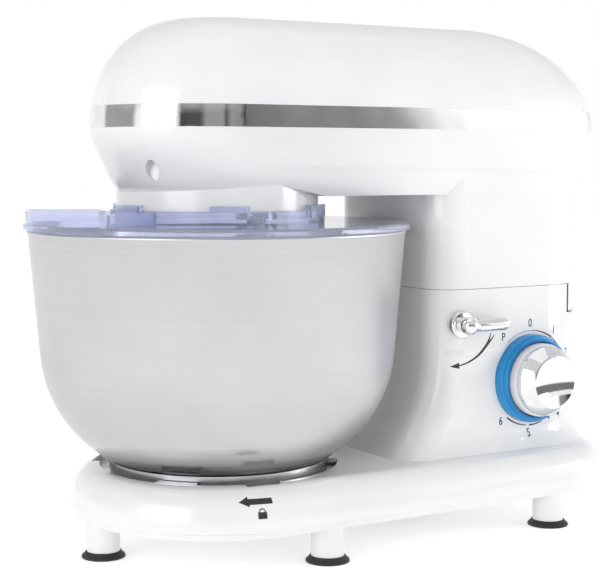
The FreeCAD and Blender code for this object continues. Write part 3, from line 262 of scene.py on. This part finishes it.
def make_materials():
    made = [
        plastic("white_plastic", (0.83, 0.83, 0.835), (0.8, 0.8, 0.806), 0.16, 0.000004, 0.5),
        plastic("black_rubber", (0.02, 0.02, 0.021), (0.01, 0.01, 0.011), 0.5, 0.00003,
                worn=(0.06, 0.06, 0.06)),
        plastic("nylon", (0.8, 0.78, 0.72), (0.74, 0.72, 0.65), 0.45),
        plastic("black_plastic", (0.03, 0.03, 0.032), (0.02, 0.02, 0.021), 0.4, worn=(0.09, 0.09, 0.09)),
        plastic("grey_plastic", (0.74, 0.745, 0.76), (0.7, 0.705, 0.72), 0.28),
        plastic("gear_nylon", (0.82, 0.79, 0.68), (0.76, 0.72, 0.6), 0.4, worn=(0.5, 0.47, 0.4)),
        plastic("circuit_board", (0.03, 0.22, 0.08), (0.02, 0.15, 0.05), 0.35),
        plastic("belt_rubber", (0.03, 0.03, 0.033), (0.015, 0.015, 0.016), 0.6, 0.00003),
        plastic("carbon", (0.06, 0.06, 0.06), (0.03, 0.03, 0.03), 0.5),
        metal("chrome_trim", (0.88, 0.88, 0.89), (0.86, 0.86, 0.875), 0.04, (60, 60, 60), 0.000001, 0.02),
        metal("screw_steel", (0.66, 0.66, 0.68), (0.5, 0.5, 0.52), 0.25),
        metal("plate_steel", (0.6, 0.6, 0.62), (0.5, 0.5, 0.52), 0.28, (20, 20, 1500)),
        metal("spring_steel", (0.45, 0.45, 0.47), (0.35, 0.35, 0.37), 0.3, (900, 900, 900)),
        metal("bronze", (0.6, 0.4, 0.18), (0.45, 0.28, 0.12), 0.35),
        metal("cast_alloy", (0.6, 0.6, 0.62), (0.48, 0.48, 0.5), 0.45, (500, 500, 500), 0.00006, 0.4),
        metal("carrier_alloy", (0.75, 0.75, 0.77), (0.66, 0.66, 0.68), 0.32, (400, 400, 400), 0.00003, 0.3),
        metal("motor_iron", (0.32, 0.32, 0.34), (0.2, 0.2, 0.22), 0.45, (20, 20, 2200), 0.00008, 0.5),
        metal("copper_wire", (0.75, 0.33, 0.12), (0.55, 0.2, 0.06), 0.3, (60, 60, 1800), 0.00015, 0.7),
        metal("gear_steel", (0.5, 0.5, 0.52), (0.38, 0.38, 0.4), 0.3, (200, 200, 900)),
        brushed_bowl(),
        tinted_clear(),
        light_ring_blue(),
        printed_ink(),
    ]
    return {material.name: material for material in made}


for imported in list(bpy.data.materials):
    bpy.data.materials.remove(imported)
MATERIALS = make_materials()


def dress_cad_nodes():
    """Every carried-over CAD node takes the material of its slot."""
    for part in frame["record"]["subparts"]:
        mesh = NODES[part["node"]].data
        mesh.materials.clear()
        mesh.materials.append(MATERIALS[part["material_slot"]])


# ---------------------------------------------------------------- mesh helpers
def finish_piece(name, mesh, body, slot, sharp_degrees=35.0):
    """Shade the mesh, give it its finish and make it ride on its body."""
    mesh.shade_smooth()
    mesh.set_sharp_from_angle(angle=math.radians(sharp_degrees))
    mesh.materials.append(MATERIALS[slot])
    piece = bpy.data.objects.new(name, mesh)
    bpy.context.scene.collection.objects.link(piece)
    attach(piece, body)
    return piece


def mesh_from(name, work):
    """Close a bmesh that is in millimetres and turn it into a mesh in metres."""
    bmesh.ops.remove_doubles(work, verts=work.verts, dist=0.0005)
    bmesh.ops.recalc_face_normals(work, faces=work.faces)
    bmesh.ops.scale(work, vec=(MM, MM, MM), verts=work.verts)
    mesh = bpy.data.meshes.new(name)
    work.to_mesh(mesh)
    work.free()
    return mesh


def arc(centre, radius, start, end, steps):
    """Points on a circular arc; angles are in degrees."""
    points = []
    for i in range(steps + 1):
        angle = math.radians(start + (end - start) * i / steps)
        points.append((centre[0] + radius * math.cos(angle), centre[1] + radius * math.sin(angle)))
    return points


def rounded(corners, steps=5):
    """Outline of (a, b, radius) corners with each corner replaced by an arc of that radius."""
    points = []
    count = len(corners)
    for i, (a, b, radius) in enumerate(corners):
        here = Vector((a, b))
        before = (Vector(corners[i - 1][:2]) - here).normalized()
        after = (Vector(corners[(i + 1) % count][:2]) - here).normalized()
        half = before.angle(after, 0.0) / 2
        if radius <= 0 or half < 0.01 or half > math.pi / 2 - 0.01:
            points.append((a, b))
            continue
        reach = radius / math.tan(half)
        centre = here + (before + after).normalized() * radius / math.sin(half)
        first = here + before * reach - centre
        last = here + after * reach - centre
        turn = first.angle_signed(last)
        for k in range(steps + 1):
            spoke = first.copy()
            angle = -turn * k / steps
            x = spoke.x * math.cos(angle) - spoke.y * math.sin(angle)
            y = spoke.x * math.sin(angle) + spoke.y * math.cos(angle)
            points.append((centre.x + x, centre.y + y))
    return points


def spin(work, profile, axis, centre, segments=96):
    """Add a closed (radius, along) profile turned round an axis through centre."""
    rows = []
    for k in range(segments):
        angle = 2 * math.pi * k / segments
        c, s = math.cos(angle), math.sin(angle)
        row = []
        for r, along in profile:
            if axis == "Z":
                spot = (centre[0] + r * c, centre[1] + r * s, along)
            elif axis == "Y":
                spot = (centre[0] + r * c, along, centre[1] + r * s)
            else:
                spot = (along, centre[0] + r * c, centre[1] + r * s)
            row.append(work.verts.new(spot))
        rows.append(row)
    count = len(profile)
    for k in range(segments):
        row, other = rows[k], rows[(k + 1) % segments]
        for i in range(count):
            j = (i + 1) % count
            if profile[i][0] < 1e-6 and profile[j][0] < 1e-6:
                continue
            if profile[i][0] < 1e-6:
                work.faces.new((row[i], row[j], other[j]))
            elif profile[j][0] < 1e-6:
                work.faces.new((row[i], row[j], other[i]))
            else:
                work.faces.new((row[i], row[j], other[j], other[i]))


# ---------------------------------------------------------------- bowl
def bowl_wall(inset):
    """(radius, height) points from the foot, up one large arc, to the top of the leaning wall."""
    foot = Vector((66.0, BOWL_FLOOR))
    knee = Vector((108.2, BOWL_FLOOR + 64.5))
    top = Vector((BOWL_RIM - 1.8, BOWL_TOP - 1.4))
    slope = (top - knee).normalized()
    inward = Vector((-slope.y, slope.x))
    chord = foot - knee
    radius = chord.dot(chord) / (2 * chord.dot(inward))
    centre = knee + inward * radius
    first = math.degrees(math.atan2(foot.y - centre.y, foot.x - centre.x))
    last = math.degrees(math.atan2(knee.y - centre.y, knee.x - centre.x))
    return arc(centre, radius - inset, first, last, 28) + [tuple(top + inward * inset)]


def make_bowl():
    """Spun bowl with a rolled bead at the rim."""
    wall = 0.9
    bead = 1.4
    floor_r = 62.0
    floor_top = BOWL_FLOOR + wall * 1.4
    outer = bowl_wall(0.0)
    inner = list(reversed(bowl_wall(wall)))
    roll = arc((BOWL_RIM - 1.6, BOWL_TOP - bead), bead, -60, 200, 14)
    floor_outer = [(0.0, BOWL_FLOOR), (floor_r, BOWL_FLOOR)]
    floor_inner = [(floor_r, floor_top), (0.0, floor_top)]
    work = bmesh.new()
    profile = floor_outer + outer[:-1] + roll + inner[1:] + floor_inner
    spin(work, profile, "Z", (BOWL_X, 0), 192)
    piece = finish_piece("bowl_shell", mesh_from("bowl_shell", work), "bowl", "bowl_steel", 50)
    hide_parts("mixing_bowl")


# ---------------------------------------------------------------- knob
def make_light_ring():
    """Two rounded steps of translucent plastic round the knob."""
    y = KNOB_SEAT_Y
    step = RING_R - 1.6
    profile = rounded([(14.0, y, 0), (RING_R, y, 0), (RING_R, y - 6.5, 1.5), (step, y - 6.5, 0.1),
                       (step, y - 9.5, 1.3), (24.2, y - 9.5, 0.5), (24.2, y - 2.5, 0), (14.0, y - 2.5, 0)])
    work = bmesh.new()
    spin(work, profile, "Y", (KNOB.x, KNOB.z), 128)
    piece = finish_piece("light_ring", mesh_from("light_ring", work), "base", "blue_light_ring")
    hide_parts("knob_light_ring")


def make_knob_body():
    """Light grey skirt, and the core that the cap sits on."""
    y = KNOB_SEAT_Y
    profile = rounded([(3.0, y - 4.0, 0), (6.5, y - 4.0, 0), (6.5, y - 12.0, 0), (19.0, y - 12.0, 0),
                       (19.0, y - 3.2, 0), (23.6, y - 3.2, 0.4), (23.6, y - 14.0, 1.1), (20.0, y - 14.6, 0),
                       (20.0, y - 18.0, 0), (3.0, y - 18.0, 0)])
    work = bmesh.new()
    spin(work, profile, "Y", (KNOB.x, KNOB.z), 128)
    piece = finish_piece("knob_skirt", mesh_from("knob_skirt", work), "knob", "grey_plastic")
    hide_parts("speed_knob")


def make_knob_cap():
    """Chrome cap with a bevelled ring and a slightly dished face."""
    y = KNOB_SEAT_Y
    profile = arc((0.0, y - 25.0 - 93.0), 94.0, 90.0, 80.2, 10)
    profile += rounded([(16.3, y - 25.0, 0), (16.9, y - 25.0, 0.3), (22.4, y - 18.2, 0.7),
                        (22.4, y - 14.2, 0.4), (20.1, y - 14.2, 0), (20.1, y - 18.1, 0)])[1:]
    profile.append((0.0, y - 18.1))
    work = bmesh.new()
    spin(work, profile, "Y", (KNOB.x, KNOB.z), 128)
    piece = finish_piece("knob_chrome", mesh_from("knob_chrome", work), "knob", "chrome_trim", 25)
    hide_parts("knob_cap")


# ---------------------------------------------------------------- lever
def make_lever():
    """Boss disc, necked ball hub and a round rod with a domed end."""
    y = SIDE_Y - 0.8
    hub_y = y - 9.0
    work = bmesh.new()
    boss = rounded([(0.0, y, 0), (8.6, y, 0.3), (8.6, y - 3.0, 1.2), (4.4, y - 3.3, 0.8),
                    (4.4, y - 5.2, 0), (0.0, y - 5.2, 0)])
    spin(work, boss, "Y", (LEVER.x, LEVER.z), 72)
    ball = [(0.0, y - 4.6), (4.0, y - 4.6)] + arc((0.0, hub_y), 6.0, 48, -90, 22)
    spin(work, ball, "Y", (LEVER.x, LEVER.z), 72)
    rod_end = LEVER.x + 30.2
    collar = LEVER.x + 6.6
    rod = rounded([(0.0, LEVER.x + 3.0, 0), (3.7, LEVER.x + 3.0, 0), (3.7, collar, 0), (4.2, collar, 0.25),
                   (4.2, rod_end, 3.2), (0.0, rod_end, 0)], 8)
    spin(work, rod, "X", (hub_y, LEVER.z), 64)
    piece = finish_piece("lever_handle", mesh_from("lever_handle", work), "lever", "chrome_trim", 40)
    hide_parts("tilt_lever")


# ---------------------------------------------------------------- feet
def make_feet():
    """Rubber suction cups with a thin flared lip and a bead round the pillar."""
    work = bmesh.new()
    for x, y in FEET:
        profile = rounded([(0.0, 1.9, 0), (7.5, 1.8, 1.0), (11.4, 0.0, 0.2), (13.0, 0.0, 0.35),
                           (13.0, 1.3, 0.5), (11.3, 2.7, 0.8), (10.6, 4.0, 0.5), (2.9, 4.0, 0),
                           (2.9, 9.0, 0.4), (0.0, 9.0, 0)], 4)
        spin(work, profile, "Z", (BOWL_X + x, y), 64)
    piece = finish_piece("rubber_cups", mesh_from("rubber_cups", work), "base", "black_rubber")
    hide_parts("suction_feet")


# ---------------------------------------------------------------- printed marks
def base_tree():
    """Ray-casting tree of the base housing, which the marks are printed on."""
    mesh = NODES["base_housing"].data
    points = [vertex.co.copy() for vertex in mesh.vertices]
    return BVHTree.FromPolygons(points, [tuple(face.vertices) for face in mesh.polygons])


TREE = base_tree()
INK = 0.05
SCALE_R = RING_R + 2.4
FIGURE_R = RING_R + 7.2


def printed(x, z, lift):
    """Point on the near side of the base housing straight behind (x, z), in millimetres."""
    hit = TREE.ray_cast(Vector((x * MM, -0.2, z * MM)), Vector((0, 1, 0)))[0]
    y = hit.y / MM if hit else SIDE_Y
    return (x, y - lift, z)


def ribbon(work, path, widths):
    """Flat printed stroke along a path of (x, z) points, with a width at each point."""
    across = 6
    tops = []
    bottoms = []
    for i, (x, z) in enumerate(path):
        ahead = Vector(path[min(i + 1, len(path) - 1)]) - Vector(path[max(i - 1, 0)])
        side = Vector((-ahead.y, ahead.x)).normalized() * widths[i] / 2
        shares = [1 - 2 * k / across for k in range(across + 1)]
        tops.append([work.verts.new(printed(x + side.x * k, z + side.y * k, INK)) for k in shares])
        bottoms.append([work.verts.new(printed(x + side.x * k, z + side.y * k, -INK)) for k in shares])
    for i in range(len(path) - 1):
        for k in range(across):
            work.faces.new((tops[i][k], tops[i][k + 1], tops[i + 1][k + 1], tops[i + 1][k]))
            work.faces.new((bottoms[i][k], bottoms[i][k + 1], bottoms[i + 1][k + 1], bottoms[i + 1][k]))
        for k in (0, across):
            work.faces.new((tops[i][k], tops[i + 1][k], bottoms[i + 1][k], bottoms[i][k]))
    for i in (0, len(path) - 1):
        for k in range(across):
            work.faces.new((tops[i][k], tops[i][k + 1], bottoms[i][k + 1], bottoms[i][k]))


def circle_spot(radius, clock_angle):
    """Point on the dial; the angle is clockwise from the top as seen by the user."""
    angle = math.radians(clock_angle)
    return (KNOB.x + radius * math.sin(angle), KNOB.z + radius * math.cos(angle))


def dial_arc(work, start, end, radius, width_start, width_end, steps=24):
    path = [circle_spot(radius, start + (end - start) * i / steps) for i in range(steps + 1)]
    widths = [width_start + (width_end - width_start) * i / steps for i in range(steps + 1)]
    ribbon(work, path, widths)


def make_dial_scale():
    """Dotted arc for the pulse position and solid arcs for the speeds."""
    work = bmesh.new()
    dots = 15
    for i in range(dots):
        angle = -37 + 36 * i / (dots - 1)
        dial_arc(work, angle - 0.6, angle + 0.6, SCALE_R, 0.65, 0.65, 2)
    dial_arc(work, 1, 34, SCALE_R, 0.4, 1.15)
    for start, end in ((34, 66), (66, 99), (99, 132), (160, 182), (184, 218)):
        dial_arc(work, start + 1, end - 1, SCALE_R, 0.5, 1.15)
    dial_arc(work, 148, 151, SCALE_R + 1.0, 1.1, 1.1, 3)
    piece = finish_piece("dial_scale", mesh_from("dial_scale", work), "base", "printed_ink")


def make_dial_digits():
    """Position figures round the knob, laid on the column's side."""
    marks = [("P", -39), ("0", -1), ("1", 33), ("2", 66), ("3", 99), ("4", 136), ("5", 183), ("6", 222)]
    narrow = 0.8
    for text, angle in marks:
        curve = bpy.data.curves.new("figure_" + text, "FONT")
        curve.body = text
        curve.size = 7.4
        curve.offset = 0.1
        curve.align_x = "CENTER"
        curve.align_y = "CENTER"
        carrier = bpy.data.objects.new("figure_" + text, curve)
        bpy.context.scene.collection.objects.link(carrier)
        flat = bpy.data.meshes.new_from_object(carrier)
        bpy.data.objects.remove(carrier)
        x, z = circle_spot(FIGURE_R, angle)
        work = bmesh.new()
        work.from_mesh(flat)
        bmesh.ops.dissolve_limit(work, angle_limit=0.01, verts=work.verts, edges=work.edges)
        solid = bmesh.ops.extrude_face_region(work, geom=work.faces[:])
        raised = {v for v in solid["geom"] if isinstance(v, bmesh.types.BMVert)}
        for vertex in work.verts:
            lift = INK if vertex in raised else -INK
            vertex.co = Vector(printed(x + vertex.co.x * narrow, z + vertex.co.y, lift))
        name = "dial_figure_" + text
        piece = finish_piece(name, mesh_from(name, work), "base", "printed_ink")


def make_lever_arrow():
    """Curved arrow under the lever: forked tail, tapering body and a pointed head."""
    centre = (LEVER.x - 5.5, LEVER.z + 9.5)
    radius = 36.0
    work = bmesh.new()

    def spot(angle, offset=0.0):
        turn = math.radians(angle)
        reach = radius + offset
        return (centre[0] + reach * math.sin(turn), centre[1] - reach * math.cos(turn))

    for side in (-1, 1):
        path = [spot(62 - 9 * i / 6, side * (1.5 - 1.0 * i / 6)) for i in range(7)]
        ribbon(work, path, [0.4 + 1.0 * i / 6 for i in range(7)])
    body = [spot(54 - 47 * i / 20) for i in range(21)]
    ribbon(work, body, [2.3 - 1.5 * (i / 20) ** 0.7 for i in range(21)])
    head = [spot(9 - 9 * i / 6) for i in range(7)]
    ribbon(work, head, [4.0 - 3.9 * i / 6 for i in range(7)])
    piece = finish_piece("lever_arrow", mesh_from("lever_arrow", work), "base", "printed_ink")


def make_lock_marks():
    """Arrow that shows which way the bowl locks, over a small padlock sign."""
    work = bmesh.new()
    tail = BOWL_X - 12.0
    neck = BOWL_X - 25.5
    tip = BOWL_X - 31.0
    z = BOWL_FLOOR - 10.5
    shaft = [(tail + (neck - tail) * i / 12, z) for i in range(13)]
    ribbon(work, shaft, [3.0] * 13)
    point = [(neck + (tip - neck) * i / 6, z) for i in range(7)]
    ribbon(work, point, [5.4 - 5.3 * i / 6 for i in range(7)])
    body_x = BOWL_X - 19.0
    ribbon(work, [(body_x - 2.6 + 5.2 * i / 6, z - 7.6) for i in range(7)], [3.8] * 7)
    shackle = arc((body_x, z - 5.6), 1.7, 0, 180, 12)
    ribbon(work, [(body_x + 1.7, z - 6.2)] + shackle + [(body_x - 1.7, z - 6.2)], [0.65] * 15)
    piece = finish_piece("lock_marks", mesh_from("lock_marks", work), "base", "printed_ink")


# ---------------------------------------------------------------- beater
def make_beater():
    """Cast flat beater: a rounded frame, a stem that swells into the socket and two ribs."""
    low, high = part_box("flat_beater")
    half = (high.x - low.x) / 2 / MM
    bottom = low.z / MM
    top = high.z / MM
    work = bmesh.new()
    neck = top - 43
    shoulder = top - 74
    waist = top - 102
    outline = rounded([(-10, neck, 6), (-half, shoulder, 16), (-half, waist, 22), (-29, bottom + 7, 10),
                       (0, bottom, 60), (29, bottom + 7, 10), (half, waist, 22), (half, shoulder, 16),
                       (10, neck, 6)], 6)
    tube_along(work, outline, 7.0, 7.0, True)
    tube_along(work, [(0, bottom + 3), (0, waist), (0, shoulder), (0, neck + 9)], 7.5, 7.0, False)
    for z in (waist + 4, shoulder + 3):
        rib = [(-half + 4, z), (-20, z + 2), (0, z + 3), (20, z + 2), (half - 4, z)]
        tube_along(work, rib, 6.0, 5.5, False)
    socket = rounded([(0.0, top - 37, 0), (6.0, top - 37, 2), (9.0, top - 30, 3), (9.0, top, 0.8),
                      (6.1, top, 0.5), (6.1, top - 19, 0), (0.0, top - 19, 0)])
    spin(work, socket, "Z", (TOOL_X, 0), 64)
    piece = finish_piece("cast_beater", mesh_from("cast_beater", work), "tool", "carrier_alloy", 50)
    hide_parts("flat_beater")


def tube_along(work, path, wide, deep, closed, around=14):
    """Bar with a rounded section along a path of (x, z) points in the beater's plane."""
    rows = []
    count = len(path)
    for i, (x, z) in enumerate(path):
        before = Vector(path[i - 1 if closed else max(i - 1, 0)])
        after = Vector(path[(i + 1) % count if closed else min(i + 1, count - 1)])
        ahead = (after - before).normalized()
        side = Vector((-ahead.y, ahead.x))
        row = []
        for k in range(around):
            angle = 2 * math.pi * k / around
            across = math.copysign(abs(math.cos(angle)) ** 0.7, math.cos(angle)) * wide / 2
            up = math.copysign(abs(math.sin(angle)) ** 0.7, math.sin(angle)) * deep / 2
            row.append(work.verts.new((TOOL_X + x + side.x * across, up, z + side.y * across)))
        rows.append(row)
    pairs = list(zip(rows, rows[1:])) + ([(rows[-1], rows[0])] if closed else [])
    for row, other in pairs:
        for k in range(around):
            j = (k + 1) % around
            work.faces.new((row[k], row[j], other[j], other[k]))
    if not closed:
        work.faces.new(rows[0])
        work.faces.new(list(reversed(rows[-1])))


# ---------------------------------------------------------------- stage, light and camera
def make_stage():
    """White floor that runs out to the horizon."""
    mesh = bpy.data.meshes.new("floor")
    size = 12.0
    corners = [(-size, -size, 0), (size, -size, 0), (size, size, 0), (-size, size, 0)]
    mesh.from_pydata(corners, [], [(0, 1, 2, 3)])
    floor = bpy.data.objects.new("floor", mesh)
    bpy.context.scene.collection.objects.link(floor)
    material, nodes, links, shader = new_material("floor_white")
    shader.inputs["Base Color"].default_value = (0.95, 0.95, 0.95, 1)
    shader.inputs["Roughness"].default_value = 0.7
    shader.inputs["Emission Color"].default_value = (1, 1, 1, 1)
    shader.inputs["Emission Strength"].default_value = 0.3
    mesh.materials.append(material)


def area_light(name, spot, target, size, power):
    light = bpy.data.lights.new(name, "AREA")
    light.shape = "RECTANGLE"
    light.size = size[0]
    light.size_y = size[1]
    light.energy = power
    lamp = bpy.data.objects.new(name, light)
    lamp.location = spot
    lamp.rotation_euler = (Vector(target) - Vector(spot)).to_track_quat("-Z", "Y").to_euler()
    bpy.context.scene.collection.objects.link(lamp)
    return lamp


def make_flag():
    """Dark card beside the camera: it gives the chrome knob and lever something to reflect."""
    centre = Vector((KNOB.x * MM + 0.44, -0.63, 0.0))
    turn = math.radians(39)
    half_width = 0.24
    across = Vector((math.cos(turn), math.sin(turn), 0)) * half_width
    up = Vector((0, 0, 0.05))
    corners = [centre - across, centre + across, centre + across + up, centre - across + up]
    mesh = bpy.data.meshes.new("flag")
    mesh.from_pydata(corners, [], [(0, 1, 2, 3)])
    flag = bpy.data.objects.new("flag", mesh)
    bpy.context.scene.collection.objects.link(flag)
    material, nodes, links, shader = new_material("flag_dark")
    shader.inputs["Base Color"].default_value = (0.16, 0.16, 0.16, 1)
    mesh.materials.append(material)
    flag.visible_camera = False


def make_world():
    """Pale studio round the object: bright panels with dark gaps, which the trim band mirrors."""
    world = bpy.data.worlds.new("studio")
    bpy.context.scene.world = world
    world.use_nodes = True
    nodes = world.node_tree.nodes
    links = world.node_tree.links
    source = nodes.new("ShaderNodeTexCoord")
    turn = nodes.new("ShaderNodeTexGradient")
    turn.gradient_type = "RADIAL"
    links.new(source.outputs["Generated"], turn.inputs["Vector"])
    panels = nodes.new("ShaderNodeValToRGB")
    # Brightness by azimuth in degrees from -180 to 180, measured from +X towards +Y.
    levels = [(-180, 1.1), (-138, 1.1), (-134, 0.08), (-112, 0.1), (-106, 0.35), (-88, 0.35), (-84, 0.1),
              (-78, 0.35), (-67, 0.3), (-65, 0.06), (-61.5, 0.06), (-60, 0.26), (-55, 0.3), (-53, 1.3),
              (-15, 1.5), (0, 1.2), (20, 1.0), (118, 1.0), (126, 0.4), (168, 0.4), (174, 1.1), (180, 1.1)]
    ramp_data = panels.color_ramp
    while len(ramp_data.elements) < len(levels):
        ramp_data.elements.new(0.5)
    for element, (azimuth, level) in zip(ramp_data.elements, levels):
        element.position = (azimuth + 180) / 360
        element.color = (level, level, level, 1)
    links.new(turn.outputs["Fac"], panels.inputs["Fac"])
    split = nodes.new("ShaderNodeSeparateXYZ")
    links.new(source.outputs["Generated"], split.inputs["Vector"])
    upward = ramp(nodes, links, split.outputs["Z"], 0.0, 1.0, 0.15, 0.45)
    sky = blend(nodes, links, upward, panels.outputs["Color"], (0.72, 0.72, 0.73))
    background = nodes["Background"]
    links.new(sky, background.inputs["Color"])
    background.inputs["Strength"].default_value = 1.0


def make_light():
    """Soft panels on the left and right, a weak one above and a fill from the front."""
    make_world()
    area_light("front_left", (-1.5, -0.55, 0.55), (-0.05, 0, 0.15), (1.1, 1.0), 7)
    area_light("top_soft", (0.1, -0.1, 1.7), (0, 0, 0.1), (1.6, 1.2), 2)
    fill = area_light("front_fill", (-0.2, -1.5, 0.2), (0, 0, 0.1), (1.2, 0.5), 2.5)
    fill.visible_glossy = False
    area_light("right_strip", (0.95, -0.62, 0.22), (-0.08, 0, 0.12), (0.4, 0.6), 3)


def make_camera():
    """Long lens, level with the head and looking slightly down, in front of the knob side."""
    turn = math.radians(28.0)
    yaw = math.radians(3.14)
    pitch = math.radians(5.05)
    distance = 0.919
    height = 0.2348
    ahead = Vector((math.sin(turn), math.cos(turn), 0))
    right = Vector((math.cos(turn), -math.sin(turn), 0))
    look = ahead * math.cos(yaw) + right * math.sin(yaw)
    look = look * math.cos(pitch) - Vector((0, 0, math.sin(pitch)))
    data = bpy.data.cameras.new("camera")
    data.lens = 90.0
    data.sensor_width = 36.0
    camera = bpy.data.objects.new("camera", data)
    camera.location = Vector((BOWL_X * MM, 0, height)) - ahead * distance
    camera.rotation_euler = look.to_track_quat("-Z", "Y").to_euler()
    bpy.context.scene.collection.objects.link(camera)
    bpy.context.scene.camera = camera


dress_cad_nodes()
make_bowl()
make_light_ring()
make_knob_body()
make_knob_cap()
make_lever()
make_feet()
make_dial_scale()
make_dial_digits()
make_lever_arrow()
make_lock_marks()
make_beater()
make_stage()
make_flag()
make_light()
make_camera()
bpy.context.scene.view_settings.view_transform = "Standard"
